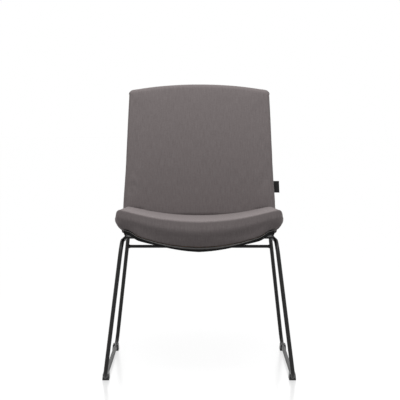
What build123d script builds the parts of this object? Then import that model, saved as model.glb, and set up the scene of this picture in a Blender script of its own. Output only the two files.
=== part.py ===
from build123d import *
import os
from math import asin, atan2, cos, degrees, hypot, radians, sin, sqrt, tan

# Sled-base visitor chair: an upholstered plywood shell on a welded frame of steel rod.
# Millimetres. X runs across the chair, the sitter faces -Y, Z is up from the floor.
# Left and right are the sitter's, so left is +X.
# The model is drawn with Y = 0 at the seat's front edge and centred front to back at the end.

# Driving dimensions: seat
SEAT_WIDTH = 494.0
SEAT_SLOPE = 4.0
SHELL_SEAT_HEIGHT = 428.0
CREASE_DEPTH = 452.0
CREST_THICKNESS = 46.5
SEAT_DISH = 20.5
DISH_HALF = 190.0
DISH_POWER = 2.6
DISH_REAR = 12.0
SEAT_ROLL = 34.0
ROLL_UNDER = 24.0
SEAT_OVERHANG = 21.0
NOSE_UPPER_SHARE = 0.62
NOSE_TUCK = 60.0
CREST_FALL = 6.0
CREASE_HEIGHT = 42.0
MITRE_FADE = 0.8

# Driving dimensions: back
BACK_HEIGHT = 863.0
BACK_WIDTH_LOW = 487.0
BACK_WIDTH_TOP = 469.0
LEAN_LOW = 5.0
LEAN_TOP = 17.0
BACK_SAG = 18.0
TOP_ARCH = 24.0
BACK_PAD = 23.5
BACK_EDGE = 12.0
REAR_EDGE = 7.0
TOP_NOSE = 13.0
TOP_COVERING = 9.0

# Driving dimensions: shell and coverings
PLY = 11.0
WADDING = 4.0
FABRIC = 1.5
FRONT_BEND = 50.0
BACK_BEND = 60.0
FRONT_BEND_INSET = 74.0
LIP_DROP = 46.0
LIP_RISE = 42.0
LIP_HALF = 215.0
LIP_MIN_TURN = 6.0
PAN = 3.0
PAN_RIM = 6.0
PAN_RIM_SIDE = 3.0
PAN_RIM_DROP = 2.0
HEM = 8.0

# Driving dimensions: frame
ROD = 12.0
LEG_LEAN = 7.0
ROD_INSET = 2.6
FRONT_RAKE = 6.6
REAR_RAKE = 13.7
FRONT_TOP_INSET = 6.0
REAR_TOP_INSET = 24.0
TOP_BEND = 45.0
FLOOR_BEND = 30.0
CROSS_BAR = 10.0
CROSS_BAR_HEIGHT = 342.0
WELD = 5.0
STRAP_WIDTH = 30.0
STRAP = 4.0
STRAP_SETBACK = 72.0
TAB_LENGTH = 36.0
TAB_SETBACK = 20.0
STRAP_SCREW_INSET = 78.0
TAB_SCREW_INSET = 26.0
TAB_MARGIN = 14.0
WELD_BITE = 2.0

# Driving dimensions: glides
GLIDE_LENGTH = 36.0
GLIDE_BASE = 20.5
GLIDE_TOP = 17.0
GLIDE_SOLE = 6.0
GLIDE_HEIGHT = 19.0
GLIDE_FILLET = 1.5
PEG = 4.5
PEG_RISE = 4.0
SNAP_MOUTH = 10.0

# Driving dimensions: fasteners and tab
SCREW = 6.0
SCREW_HEAD = 11.0
SCREW_HEAD_HEIGHT = 3.3
SCREW_SOCKET = 4.0
SCREW_CLEAR = 0.4
WASHER = 14.0
WASHER_HEIGHT = 1.6
NUT_FLANGE = 19.0
NUT_FLANGE_HEIGHT = 1.5
NUT_BARREL = 8.0
NUT_DEPTH = 9.0
PAN_SCREW = 3.5
PAN_SCREW_HEAD = 7.0
PAN_SCREW_HEAD_HEIGHT = 2.2
PAN_SCREW_BITE = 8.5
PAN_SCREW_INSET = 44.0
PAN_SCREW_FRONT = 26.0
PAN_SCREW_REAR = 240.0
TAB_OUT = 17.0
TAB_TALL = 37.0
TAB_THICK = 1.6
TAB_RISE = 86.0

# Clearances
GLUE = 0.1
FIT = 0.2
CREASE_GAP = 0.5

# Values that follow
seat_half = SEAT_WIDTH / 2
ply_half = seat_half - SEAT_OVERHANG
rod_radius = ROD / 2
pan_top = -(PLY + FIT)
pan_under = pan_top - PAN
seam_level = -PLY / 2
rear_out = PLY + WADDING + FABRIC
rod_level = min(pan_under, -rear_out) - FIT - rod_radius
up_angle = 90 - SEAT_SLOPE
runner_height = GLIDE_SOLE + rod_radius

# Where sections are taken: shares of the middle field, then angles round an edge
FIELD = (0, 0.2, 0.4, 0.6, 0.8, 1)
EDGE_STEPS = (72, 54, 36, 18, 0)


def polar(center, radius, angle):
    """Point round a centre in a side view, whose axes are depth and height."""
    return (center[0] + radius * cos(radians(angle)), center[1] + radius * sin(radians(angle)))


def bow(center, radius, start, end):
    """Arc round a centre from one angle to another."""
    middle = polar(center, radius, (start + end) / 2)
    return ThreePointArc(polar(center, radius, start), middle, polar(center, radius, end))


def seat_height(depth):
    """Height of the plywood's top face along the straight seat."""
    return SHELL_SEAT_HEIGHT - (depth - FRONT_BEND_INSET) * tan(radians(SEAT_SLOPE))


class Side:
    """Side view of the shell at one distance from the middle, as offsets from its top face."""

    def __init__(self, x, front_shift=0.0):
        bend_turn = 90 - LEAN_LOW + SEAT_SLOPE
        tangent = BACK_BEND * tan(radians(bend_turn / 2))
        sag = BACK_SAG * (2 * x / BACK_WIDTH_LOW) ** 2
        self.corner_y = CREASE_DEPTH + BACK_PAD / cos(radians(LEAN_LOW)) - sag
        self.corner_y -= CREASE_HEIGHT * tan(radians(LEAN_LOW))
        corner = (self.corner_y, seat_height(self.corner_y))
        front_y = FRONT_BEND_INSET + front_shift
        self.front_top = (front_y, seat_height(front_y))
        self.front = polar(self.front_top, -FRONT_BEND, up_angle)
        bend_start = polar(corner, -tangent, -SEAT_SLOPE)
        self.bend = polar(bend_start, BACK_BEND, up_angle)
        self.bend_low = up_angle + 180
        self.bend_high = 360 - LEAN_LOW
        self.bend_middle = (self.bend_low + self.bend_high) / 2
        bend_end = polar(self.bend, BACK_BEND, self.bend_high)
        top_height = BACK_HEIGHT - TOP_COVERING
        rise = sin(radians(LEAN_TOP)) - sin(radians(LEAN_LOW))
        self.sweep = (top_height - bend_end[1]) / rise
        self.back = polar(bend_end, self.sweep, -LEAN_LOW)
        self.back_low = 180 - LEAN_LOW
        self.lip_turn = lip_turn(x)

    def seat_at(self, level, start):
        """Point at the front or the rear end of the straight seat, at an offset from the shell."""
        if start:
            return polar(self.front, FRONT_BEND + level, up_angle)
        return polar(self.bend, BACK_BEND - level, self.bend_low)

    def lip(self, level, extra=0.0):
        """Point at the lower end of the front bend."""
        return polar(self.front, FRONT_BEND + level, up_angle + self.lip_turn + extra)

    def back_angle(self, height, level):
        """Angle on the back's long arc at a height."""
        return 180 - degrees(asin((height - self.back[1]) / (self.sweep + level)))

    def back_point(self, angle, level):
        """Point on the back's long arc."""
        return polar(self.back, self.sweep + level, angle)


def lip_turn(x):
    """Turn of the front bend at a distance from the middle: the lip's lower edge is a flat arc."""
    radius = (LIP_HALF**2 + LIP_RISE**2) / (2 * LIP_RISE)
    drop = LIP_DROP - radius + sqrt(radius**2 - x**2)
    share = min(1.0, sin(radians(up_angle)) - drop / FRONT_BEND)
    return max(LIP_MIN_TURN, 180 - degrees(asin(share)) - up_angle)


def dish(x, depth):
    """Rise of the seat's dished top towards its sides."""
    return depth * (min(abs(x), DISH_HALF) / DISH_HALF) ** DISH_POWER


def crease_on(side, x, level):
    """Point where the seat's top meets the back, on a face in front of the shell."""
    face = polar(side.bend, BACK_BEND - level, side.bend_high)
    height = seat_height(face[0]) + CREASE_HEIGHT + dish(x, DISH_REAR)
    return polar(face, (height - face[1]) / cos(radians(LEAN_LOW)), 90 - LEAN_LOW)


def arch(x, half):
    """Fall of the back's arched top edge away from the middle."""
    return TOP_ARCH * (x / half) ** 2


def spread(half, radius):
    """Section places across a pad: the middle field, then the round edges given by angles."""
    flat = half - radius
    right = [(share * flat, 90) for share in FIELD]
    right += [(flat + radius * cos(radians(step)), step) for step in EDGE_STEPS]
    return [(-x, step) for x, step in reversed(right[1:])] + right


def back_half(height):
    """Half width of the back at a height."""
    share = (height - SHELL_SEAT_HEIGHT) / (BACK_HEIGHT - SHELL_SEAT_HEIGHT)
    return (BACK_WIDTH_LOW + (BACK_WIDTH_TOP - BACK_WIDTH_LOW) * share) / 2


def section(plane, edges):
    """Closed outline placed on a plane, from edges that run head to tail."""
    return plane * Face(Wire(edges))


def swoop(start, heading, end):
    """Arc between two points that leaves along a heading in degrees."""
    chord = degrees(atan2(end[1] - start[1], end[0] - start[0]))
    bulge = hypot(end[0] - start[0], end[1] - start[1]) / 2 * tan(radians((heading - chord) / 2))
    middle = ((start[0] + end[0]) / 2, (start[1] + end[1]) / 2)
    return ThreePointArc(start, polar(middle, bulge, chord + 90), end)


def swoop_back(start, end, heading):
    """Shallow arc between two points that arrives along a heading in degrees."""
    chord = degrees(atan2(end[1] - start[1], end[0] - start[0]))
    length = hypot(end[0] - start[0], end[1] - start[1])
    bulge = length / 2 * tan(radians((heading - chord) / 2))
    middle = ((start[0] + end[0]) / 2, (start[1] + end[1]) / 2)
    return ThreePointArc(start, polar(middle, bulge, chord - 90), end)


def shell_slab(low, high, half, end=None, lip_extra=0.0, top_extra=0.0):
    """Layer of the shell between two offsets, whole, or only the seat as far as end past the
    start of the rear bend."""
    faces = []
    flat = seat_half - SEAT_ROLL
    places = [share * flat for share in FIELD] + [half]
    for x in [-x for x in reversed(places[1:])] + places:
        side = Side(x)
        lip_angle = up_angle + side.lip_turn + lip_extra
        edges = [
            bow(side.front, FRONT_BEND + high, lip_angle, up_angle),
        ]
        if end is None:
            top = BACK_HEIGHT - TOP_COVERING - arch(x, ply_half) + top_extra
            high_top = side.back_angle(top, high)
            low_top = side.back_angle(top, low)
            edges += [
                Line(side.seat_at(high, True), side.seat_at(high, False)),
                bow(side.bend, BACK_BEND - high, side.bend_low, side.bend_high),
                bow(side.back, side.sweep + high, side.back_low, high_top),
                Line(side.back_point(high_top, high), side.back_point(low_top, low)),
                bow(side.back, side.sweep + low, low_top, side.back_low),
                bow(side.bend, BACK_BEND - low, side.bend_high, side.bend_low),
                Line(side.seat_at(low, False), side.seat_at(low, True)),
            ]
        else:
            end_high = polar(side.seat_at(high, False), end, -SEAT_SLOPE)
            end_low = polar(side.seat_at(low, False), end, -SEAT_SLOPE)
            edges += [
                Line(side.seat_at(high, True), end_high),
                Line(end_high, end_low),
                Line(end_low, side.seat_at(low, True)),
            ]
        edges += [
            bow(side.front, FRONT_BEND + low, up_angle, lip_angle),
            Line(side.lip(low, lip_extra), side.lip(high, lip_extra)),
        ]
        faces.append(section(Plane.YZ.offset(x), edges))
    return loft(faces, ruled=True)


def seat_pad(inset):
    """Seat pad with its bullnose front, dished top and rolled sides, or what is left of it
    under a covering."""
    faces = []
    for x, step in spread(seat_half - inset, SEAT_ROLL - inset):
        away = 1 - sin(radians(step))
        side = Side(x, SEAT_ROLL * away)
        tuck = GLUE + ROLL_UNDER * away
        bottom = tuck + inset
        crest = side.front_top[1] + CREST_THICKNESS + dish(x, SEAT_DISH) - SEAT_ROLL * away
        hem = side.lip(tuck)
        upper = NOSE_UPPER_SHARE * (crest - hem[1])
        middle = crest - upper
        lower = (middle - hem[1]) / sin(radians(NOSE_TUCK))
        front = hem[0] - PAN_RIM_SIDE - FIT - lower * (1 - cos(radians(NOSE_TUCK)))
        upper_center = (front + upper, middle)
        lower_center = (front + lower, middle)
        lip_turn_back = degrees(inset / FRONT_BEND) if side.lip_turn > 2 * LIP_MIN_TURN else 0.0
        lip_angle = up_angle + side.lip_turn - lip_turn_back
        mitre_turn = (side.bend_middle - side.bend_low) * (1 - MITRE_FADE * away)
        mitre_angle = side.bend_low + mitre_turn - degrees((CREASE_GAP + inset) / BACK_BEND)
        crease = crease_on(side, x, BACK_PAD + CREASE_GAP + inset)
        crease = polar(crease, -inset - ROLL_UNDER * away, 90 - LEAN_LOW)
        mitre = polar(side.bend, BACK_BEND - bottom, mitre_angle)
        crest_end = polar(upper_center, upper - inset, 90 - CREST_FALL)
        edges = [
            Line(side.seat_at(bottom, True), side.seat_at(bottom, False)),
            bow(side.bend, BACK_BEND - bottom, side.bend_low, mitre_angle),
            Line(mitre, crease),
            swoop_back(crease, crest_end, 180 - CREST_FALL),
            bow(upper_center, upper - inset, 90 - CREST_FALL, 180),
            bow(lower_center, lower - inset, 180, 180 + NOSE_TUCK),
            Line(
                polar(lower_center, lower - inset, 180 + NOSE_TUCK),
                polar(side.front, FRONT_BEND + bottom, lip_angle),
            ),
            bow(side.front, FRONT_BEND + bottom, lip_angle, up_angle),
        ]
        faces.append(section(Plane.YZ.offset(x), edges))
    return loft(faces, ruled=True)


def back_pad(inset, reach=0.0):
    """Back pad round the shell, rounded along its top and sides, narrower towards its arched top,
    with the covering of the rear bend, or what is left of it under a covering."""
    faces = []
    low_half = BACK_WIDTH_LOW / 2
    top_half = BACK_WIDTH_TOP / 2
    taper = (top_half - low_half) / (BACK_HEIGHT - SHELL_SEAT_HEIGHT)
    for x, step in spread(low_half - inset, BACK_EDGE - inset):
        away = 1 - sin(radians(step))
        side = Side(x)
        front = BACK_PAD - inset - (BACK_EDGE - inset) * away
        rear = inset + REAR_EDGE * away - rear_out
        top = BACK_HEIGHT - inset - arch(x, low_half) - (BACK_EDGE - inset) * away
        nose = TOP_NOSE - inset
        front_top = side.back_angle(top - nose, front)
        rear_top = side.back_angle(top - REAR_EDGE, rear)
        front_end = side.back_point(front_top, front)
        rear_end = side.back_point(rear_top, rear)
        low_front = polar(side.bend, BACK_BEND - front, side.bend_high)
        crease = polar(crease_on(side, x, front), -reach, 90 - LEAN_LOW)
        floor = GLUE if reach == 0 else reach
        mitre = polar(side.bend, BACK_BEND - floor, side.bend_middle)
        bend_start = side.bend_low - degrees(reach / BACK_BEND)
        under = polar(side.bend, BACK_BEND - rear, bend_start)
        share = x / low_half
        plane = Plane(
            origin=(share * (low_half - taper * SHELL_SEAT_HEIGHT), 0, 0),
            x_dir=(0, 1, 0),
            z_dir=(1, 0, -share * taper),
        )
        edges = [
            Line(crease, low_front),
            bow(side.back, side.sweep + front, side.back_low, front_top),
            swoop(front_end, 90 - LEAN_TOP, (front_end[0] + nose, top)),
            Line((front_end[0] + nose, top), (rear_end[0] - REAR_EDGE, top)),
            swoop((rear_end[0] - REAR_EDGE, top), 0, rear_end),
            bow(side.back, side.sweep + rear, rear_top, side.back_low),
            bow(side.bend, BACK_BEND - rear, side.bend_high, bend_start),
            Line(under, polar(side.bend, BACK_BEND - floor, bend_start)),
            bow(side.bend, BACK_BEND - floor, bend_start, side.bend_middle),
            Line(mitre, crease),
        ]
        faces.append(section(plane, edges))
    return loft(faces, ruled=True)


# Shell and its coverings
plywood_shell = shell_slab(-PLY, 0, ply_half)

seat_outside = seat_pad(0)
seat_bag = seat_outside - seat_pad(FABRIC)
seat_opening = shell_slab(
    -HEM, HEM, ply_half - HEM, end=HEM, lip_extra=-degrees(HEM / FRONT_BEND)
)
seat_cover = seat_bag - seat_opening
seat_foam = seat_outside - seat_cover

back_outside = back_pad(0)
back_skin = back_outside - back_pad(FABRIC, HEM)
back_filling = back_pad(FABRIC + GLUE) - shell_slab(
    -PLY - GLUE, 2 * GLUE, ply_half + GLUE, top_extra=GLUE
)
behind_seam = shell_slab(
    -2 * rear_out, seam_level, BACK_WIDTH_LOW / 2 + HEM, top_extra=2 * TOP_COVERING
)
back_rear_cover = back_skin & behind_seam
back_front_cover = back_skin - behind_seam
back_wadding = back_filling & behind_seam
back_foam = back_filling - behind_seam - back_front_cover

# Moulded cover under the seat, with a rim that wraps the shell's edge
pan_block = shell_slab(
    pan_under,
    -PAN_RIM_DROP,
    ply_half + FIT + PAN_RIM_SIDE,
    end=-FIT,
    lip_extra=degrees((PAN_RIM + FIT) / FRONT_BEND),
)
pan_pocket = shell_slab(
    pan_top, HEM, ply_half + FIT, end=HEM, lip_extra=degrees(FIT / FRONT_BEND)
)
under_seat_cover = pan_block - pan_pocket

# Side rods: each a closed loop in a plane that leans in towards the seat
rod_drop = rod_level / cos(radians(SEAT_SLOPE))
front_y = FRONT_BEND_INSET - FRONT_TOP_INSET
rear_y = Side(0).corner_y - REAR_TOP_INSET
front_z = seat_height(front_y) + rod_drop
rear_z = seat_height(rear_y) + rod_drop
floor_front_y = front_y - (front_z - runner_height) * tan(radians(FRONT_RAKE))
floor_rear_y = rear_y + (rear_z - runner_height) * tan(radians(REAR_RAKE))


def rod_x(z):
    """Distance of a side rod's centre line from the middle of the chair at a height."""
    return ply_half - ROD_INSET + (front_z - z) * tan(radians(LEG_LEAN))


def loop_point(y, z):
    """Point on the left loop's plane."""
    return Vector(rod_x(z), y, z)


top_front = loop_point(front_y, front_z)
top_rear = loop_point(rear_y, rear_z)
floor_rear = loop_point(floor_rear_y, runner_height)
floor_front = loop_point(floor_front_y, runner_height)


def bend_reach(before, corner, after, radius):
    """Distance from a corner to where its bend of a given radius begins."""
    inside = (before - corner).get_angle(after - corner)
    return radius / tan(radians(inside / 2))


runner_start = floor_front_y + bend_reach(top_front, floor_front, floor_rear, FLOOR_BEND)
runner_end = floor_rear_y - bend_reach(top_rear, floor_rear, floor_front, FLOOR_BEND)
glide_places = {
    "front": runner_start + GLIDE_LENGTH / 2,
    "rear": runner_end - GLIDE_LENGTH / 2,
}
runner_x = rod_x(runner_height)

loop_path = FilletPolyline(
    top_rear,
    floor_rear,
    floor_front,
    top_front,
    radius=(TOP_BEND, FLOOR_BEND, FLOOR_BEND, TOP_BEND),
    close=True,
)
loop_start = Plane(origin=loop_path @ 0, z_dir=loop_path % 0)
left_side_rod = sweep(loop_start * Circle(rod_radius), path=loop_path)
for place in glide_places.values():
    hole = Cylinder(PEG / 2 + FIT, 2 * (PEG_RISE + FIT))
    left_side_rod -= Pos(runner_x, place, GLIDE_SOLE) * hole
right_side_rod = mirror(left_side_rod, Plane.YZ)

# Cross bar between the rear legs, coped to the rods, with a weld collar at each end
bar_y = rear_y + (rear_z - CROSS_BAR_HEIGHT) * tan(radians(REAR_RAKE))
bar_half = rod_x(CROSS_BAR_HEIGHT)
bar_profile = Polyline(
    (0, 0),
    (0, CROSS_BAR / 2),
    (bar_half - rod_radius - WELD, CROSS_BAR / 2),
    (bar_half - rod_radius / 2, CROSS_BAR / 2 + WELD / 2),
    (bar_half, CROSS_BAR / 2 + WELD / 2),
    (bar_half, 0),
    close=True,
)
half_bar = revolve(make_face(bar_profile), Axis.X)
rear_cross_bar = Pos(0, bar_y, CROSS_BAR_HEIGHT) * (half_bar + mirror(half_bar, Plane.YZ))
rear_cross_bar = rear_cross_bar - left_side_rod - right_side_rod

# Plates under the seat, in a frame that lies along the shell: X, run from the front bend, level
seat_frame = Plane(
    origin=(0, FRONT_BEND_INSET, SHELL_SEAT_HEIGHT),
    x_dir=(1, 0, 0),
    z_dir=(0, sin(radians(SEAT_SLOPE)), cos(radians(SEAT_SLOPE))),
)
plate_top = pan_under - FIT
plate_level = plate_top - STRAP / 2
rear_bend_y = Side(ply_half).seat_at(0, False)[0]
rear_bend_run = (rear_bend_y - FRONT_BEND_INSET) / cos(radians(SEAT_SLOPE))
tab_run = rear_bend_run - TAB_SETBACK - TAB_LENGTH / 2
strap_rod_x = rod_x(seat_height(FRONT_BEND_INSET + STRAP_SETBACK) + rod_drop)
tab_rod_x = rod_x(seat_height(FRONT_BEND_INSET + tab_run) + rod_drop)
strap_screw_x = strap_rod_x - STRAP_SCREW_INSET
tab_screw_x = tab_rod_x - TAB_SCREW_INSET
shell_screw_places = [
    (strap_screw_x, STRAP_SETBACK),
    (-strap_screw_x, STRAP_SETBACK),
    (tab_screw_x, tab_run),
    (-tab_screw_x, tab_run),
]
screw_hole = Cylinder(SCREW / 2 + SCREW_CLEAR, 4 * STRAP)


def under_seat(x, run, level):
    """Place in the frame that lies along the shell."""
    return seat_frame * Pos(x, run, level)


strap_length = 2 * (strap_rod_x - WELD_BITE)
front_seat_strap = under_seat(0, STRAP_SETBACK, plate_level) * Box(strap_length, STRAP_WIDTH, STRAP)
tab_width = TAB_SCREW_INSET + TAB_MARGIN - WELD_BITE
tab_center = tab_rod_x - WELD_BITE - tab_width / 2
tab_plate = Box(tab_width, TAB_LENGTH, STRAP)
rear_left_tab = under_seat(tab_center, tab_run, plate_level) * tab_plate
rear_right_tab = under_seat(-tab_center, tab_run, plate_level) * tab_plate
for x, run in shell_screw_places:
    hole = under_seat(x, run, plate_level) * screw_hole
    front_seat_strap -= hole
    rear_left_tab -= hole
    rear_right_tab -= hole
front_seat_strap = front_seat_strap - left_side_rod - right_side_rod
rear_left_tab = rear_left_tab - left_side_rod
rear_right_tab = rear_right_tab - right_side_rod

# Screws, washers and nuts that hold the shell on the frame
washer_top = plate_top - STRAP
washer_low = washer_top - WASHER_HEIGHT
shank = -NUT_FLANGE_HEIGHT - washer_low
screw_body = Pos(0, 0, washer_low + shank / 2) * Cylinder(SCREW / 2, shank)
screw_head = Cylinder(SCREW_HEAD / 2, SCREW_HEAD_HEIGHT)
screw_head = Pos(0, 0, washer_low - SCREW_HEAD_HEIGHT / 2) * screw_head
screw_head = fillet(screw_head.faces().sort_by(Axis.Z)[0].edges(), SCREW_HEAD_HEIGHT / 2)
socket = extrude(RegularPolygon(SCREW_SOCKET / 2, 6, major_radius=False), SCREW_HEAD_HEIGHT)
socket = Pos(0, 0, washer_low - 3 * SCREW_HEAD_HEIGHT / 2) * socket
screw = screw_body + screw_head - socket
washer = Cylinder(WASHER / 2, WASHER_HEIGHT) - Cylinder(SCREW / 2 + SCREW_CLEAR, WASHER_HEIGHT)
washer = Pos(0, 0, washer_top - WASHER_HEIGHT / 2) * washer
nut = Pos(0, 0, -NUT_FLANGE_HEIGHT / 2) * Cylinder(NUT_FLANGE / 2, NUT_FLANGE_HEIGHT)
nut += Pos(0, 0, -NUT_DEPTH / 2) * Cylinder(NUT_BARREL / 2, NUT_DEPTH)
nut -= Cylinder(SCREW / 2 + GLUE, 4 * NUT_DEPTH)
shell_screws = Compound([under_seat(x, run, 0) * screw for x, run in shell_screw_places])
shell_washers = Compound([under_seat(x, run, 0) * washer for x, run in shell_screw_places])
shell_tee_nuts = Compound([under_seat(x, run, 0) * nut for x, run in shell_screw_places])
for x, run in shell_screw_places:
    barrel = Pos(0, 0, -PLY) * Cylinder(NUT_BARREL / 2 + GLUE, 2 * PLY)
    recess = Cylinder(NUT_FLANGE / 2 + GLUE, 2 * NUT_FLANGE_HEIGHT)
    plywood_shell -= under_seat(x, run, 0) * (barrel + recess)
    under_seat_cover -= under_seat(x, run, pan_under) * screw_hole

# Screws that hold the moulded cover to the shell
pan_screw_x = ply_half - PAN_SCREW_INSET
pan_screw_places = [(x, PAN_SCREW_FRONT) for x in (-pan_screw_x, 0, pan_screw_x)]
pan_screw_places += [(x, PAN_SCREW_REAR) for x in (-pan_screw_x, 0, pan_screw_x)]
pan_shank = PAN + FIT + PAN_SCREW_BITE
pan_screw = Pos(0, 0, pan_under + pan_shank / 2) * Cylinder(PAN_SCREW / 2, pan_shank)
pan_head = Cylinder(PAN_SCREW_HEAD / 2, PAN_SCREW_HEAD_HEIGHT)
pan_head = Pos(0, 0, pan_under - PAN_SCREW_HEAD_HEIGHT / 2) * pan_head
pan_screw += fillet(pan_head.faces().sort_by(Axis.Z)[0].edges(), PAN_SCREW_HEAD_HEIGHT / 2)
cover_screws = Compound([under_seat(x, run, 0) * pan_screw for x, run in pan_screw_places])
pan_hole = Pos(0, 0, pan_under + pan_shank / 2) * Cylinder(PAN_SCREW / 2 + GLUE, pan_shank + GLUE)
for x, run in pan_screw_places:
    plywood_shell -= under_seat(x, run, 0) * pan_hole
    under_seat_cover -= under_seat(x, run, 0) * pan_hole

# Glides: saddle clips that snap on the runners, each with a peg in the rod
glide_outline = Polyline(
    (-GLIDE_BASE / 2, 0),
    (GLIDE_BASE / 2, 0),
    (GLIDE_TOP / 2, GLIDE_HEIGHT),
    (-GLIDE_TOP / 2, GLIDE_HEIGHT),
    close=True,
)
glide_section = make_face(glide_outline) - Pos(0, runner_height) * Circle(rod_radius + FIT)
glide_section -= Pos(0, runner_height + ROD) * Rectangle(SNAP_MOUTH, 2 * ROD)
glide = extrude(Plane.XZ * glide_section, GLIDE_LENGTH / 2, both=True)
glide = fillet(glide.edges().filter_by(Axis.Y).group_by(Axis.Z)[0], GLIDE_FILLET)
glide += Pos(0, 0, GLIDE_SOLE + PEG_RISE / 2 - FIT) * Cylinder(PEG / 2, PEG_RISE + FIT)

# Plain tab sewn into the left side seam of the back
tab_middle = SHELL_SEAT_HEIGHT + TAB_RISE + TAB_TALL / 2
tab_side = Side(BACK_WIDTH_LOW / 2)
tab_angle = tab_side.back_angle(tab_middle, seam_level)
tab_y = tab_side.back_point(tab_angle, seam_level)[0]
label_tab = Box(2 * TAB_OUT, TAB_THICK, TAB_TALL)
label_tab = Pos(back_half(tab_middle), tab_y, tab_middle) * Rot(180 - tab_angle, 0, 0) * label_tab
label_tab = label_tab - back_outside
label_tab = label_tab.solids().sort_by(Axis.X)[-1]

pieces = {
    "plywood_shell": plywood_shell,
    "seat_foam": seat_foam,
    "seat_cover": seat_cover,
    "back_foam": back_foam,
    "back_wadding": back_wadding,
    "back_front_cover": back_front_cover,
    "back_rear_cover": back_rear_cover,
    "under_seat_cover": under_seat_cover,
    "label_tab": label_tab,
    "left_side_rod": left_side_rod,
    "right_side_rod": right_side_rod,
    "rear_cross_bar": rear_cross_bar,
    "front_seat_strap": front_seat_strap,
    "rear_left_tab": rear_left_tab,
    "rear_right_tab": rear_right_tab,
    "shell_screws": shell_screws,
    "shell_washers": shell_washers,
    "shell_tee_nuts": shell_tee_nuts,
    "cover_screws": cover_screws,
}
for end, place in glide_places.items():
    pieces[end + "_left_glide"] = Pos(runner_x, place, 0) * glide
    pieces[end + "_right_glide"] = Pos(-runner_x, place, 0) * glide

# Centre the chair front to back and write each piece
boxes = [piece.bounding_box() for piece in pieces.values()]
middle_y = (min(box.min.Y for box in boxes) + max(box.max.Y for box in boxes)) / 2
os.makedirs("parts", exist_ok=True)
for name, piece in pieces.items():
    export_step(Pos(0, -middle_y, 0) * piece, "parts/" + name + ".step")
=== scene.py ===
import bpy
from math import asin, atan2, cos, degrees, exp, hypot, log, pi, radians, sin, sqrt, tan
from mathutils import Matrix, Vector


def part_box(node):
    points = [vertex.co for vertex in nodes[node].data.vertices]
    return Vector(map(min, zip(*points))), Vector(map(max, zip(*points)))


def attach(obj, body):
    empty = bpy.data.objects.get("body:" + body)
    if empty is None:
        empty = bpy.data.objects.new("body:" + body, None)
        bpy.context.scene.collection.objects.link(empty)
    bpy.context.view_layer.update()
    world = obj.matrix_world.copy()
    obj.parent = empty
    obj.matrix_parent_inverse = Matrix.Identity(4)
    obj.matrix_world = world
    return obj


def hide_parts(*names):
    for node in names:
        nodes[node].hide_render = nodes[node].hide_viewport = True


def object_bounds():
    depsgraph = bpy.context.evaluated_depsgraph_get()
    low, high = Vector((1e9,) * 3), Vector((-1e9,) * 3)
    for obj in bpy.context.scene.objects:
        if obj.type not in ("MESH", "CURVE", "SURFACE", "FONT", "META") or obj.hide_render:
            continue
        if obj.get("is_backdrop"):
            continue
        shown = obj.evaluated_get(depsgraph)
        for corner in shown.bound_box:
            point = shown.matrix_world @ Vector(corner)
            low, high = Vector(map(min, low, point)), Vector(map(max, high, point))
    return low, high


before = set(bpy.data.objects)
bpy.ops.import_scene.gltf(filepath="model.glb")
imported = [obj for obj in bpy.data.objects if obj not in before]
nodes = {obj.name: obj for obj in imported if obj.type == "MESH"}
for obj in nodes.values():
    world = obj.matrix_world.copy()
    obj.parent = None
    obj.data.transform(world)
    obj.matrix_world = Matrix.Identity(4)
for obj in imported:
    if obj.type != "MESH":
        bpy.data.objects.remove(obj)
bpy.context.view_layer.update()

# Upholstered sled-base chair. The rods, the cross bar, the strap, the welded tabs, the glides and the
# screws are the frame's own solids with their finishes. The seat, the back, the plywood sheet, the moulded
# cover and the sewn tab are built here over one side view of the shell. Lengths are in millimetres and
# angles in degrees. A side view has depth from the seat's front and height from the floor as its axes.

MM = 0.001

# Plywood shell under the padding: its slope, its bends and the curve that its front lip is cut to
SEAT_SLOPE = 4.0
UP = 90 - SEAT_SLOPE
SHELL_HEIGHT = 428.0
SHELL_TOP = 854.0
SHELL_HALF = 199.0
SHELL_ARCH = 24.0
SHELL_STEPS = 40
PLY = 11.0
FRONT_BEND = 50.0
BACK_BEND = 60.0
FRONT_INSET = 74.0
LIP_DROP = 46.0
LIP_RISE = 42.0
LIP_HALF = 200.0
LIP_MIN_TURN = 6.0
LIP_PAST_HEM = 2.0
GLUE = 0.3
LEAN_LOW = 5.0
LEAN_TOP = 17.0
BACK_SAG = 18.0
SHARP_EDGE = 35.0

# Front corners, where the lip and the fabric under the seat turn up
CORNER_LIFT = 11.0
CORNER_FROM, CORNER_RUN = 170.0, 46.0
CORNER_DEPTH, CORNER_FADE = 75.0, 55.0
CORNER_HEIGHT, CORNER_TALL = 432.0, 45.0

# Seat padding: a dished top, a tight front edge, then a face that tucks in under it
SEAT_HALF = 245.5
CREASE_DEPTH = 452.0
CREASE_HEIGHT = 42.0
CREASE_GAP = 0.5
CREST_THICKNESS = 45.0
CREST_FALL = 4.0
SEAT_DISH = 20.0
DISH_HALF = 190.0
DISH_POWER = 2.1
DISH_MOST = 28.0
DISH_SOFT = 2.5
END_RUN = 24.0
END_BACK = 24.0
SEAT_ROLL = 22.0
ROLL_UNDER = 42.0
UNDER_FLAT = 200.0
END_ROUND = 2.6
SEAT_NOSE = -5.6
SEAT_BOW = 47.0
NOSE_EDGE_SHARE = 0.09
NOSE_FACE_SHARE = 0.23
NOSE_FACE_TILT = 9.0
NOSE_BEND_SHARE = 0.45
NOSE_TUCK_LEAST, NOSE_TUCK_MOST = 2.0, 72.0
HEM_SHORT = 14.0
HEM_MIN_TURN = 4.0
TUCK = 4.5
TUCK_FULL = 60.0
TUCK_HALVINGS = 30
MITRE_FADE = 0.8
CORE_IN, CORE_DOWN = 4.0, 2.0
CORE_STEPS = 400

# Rings that close the seat's ends: how far each is drawn in to the core, and how far out it stands
SEAT_CLOSING = ((0.35, 0.9), (0.7, 1.5), (0.95, 1.7))

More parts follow.
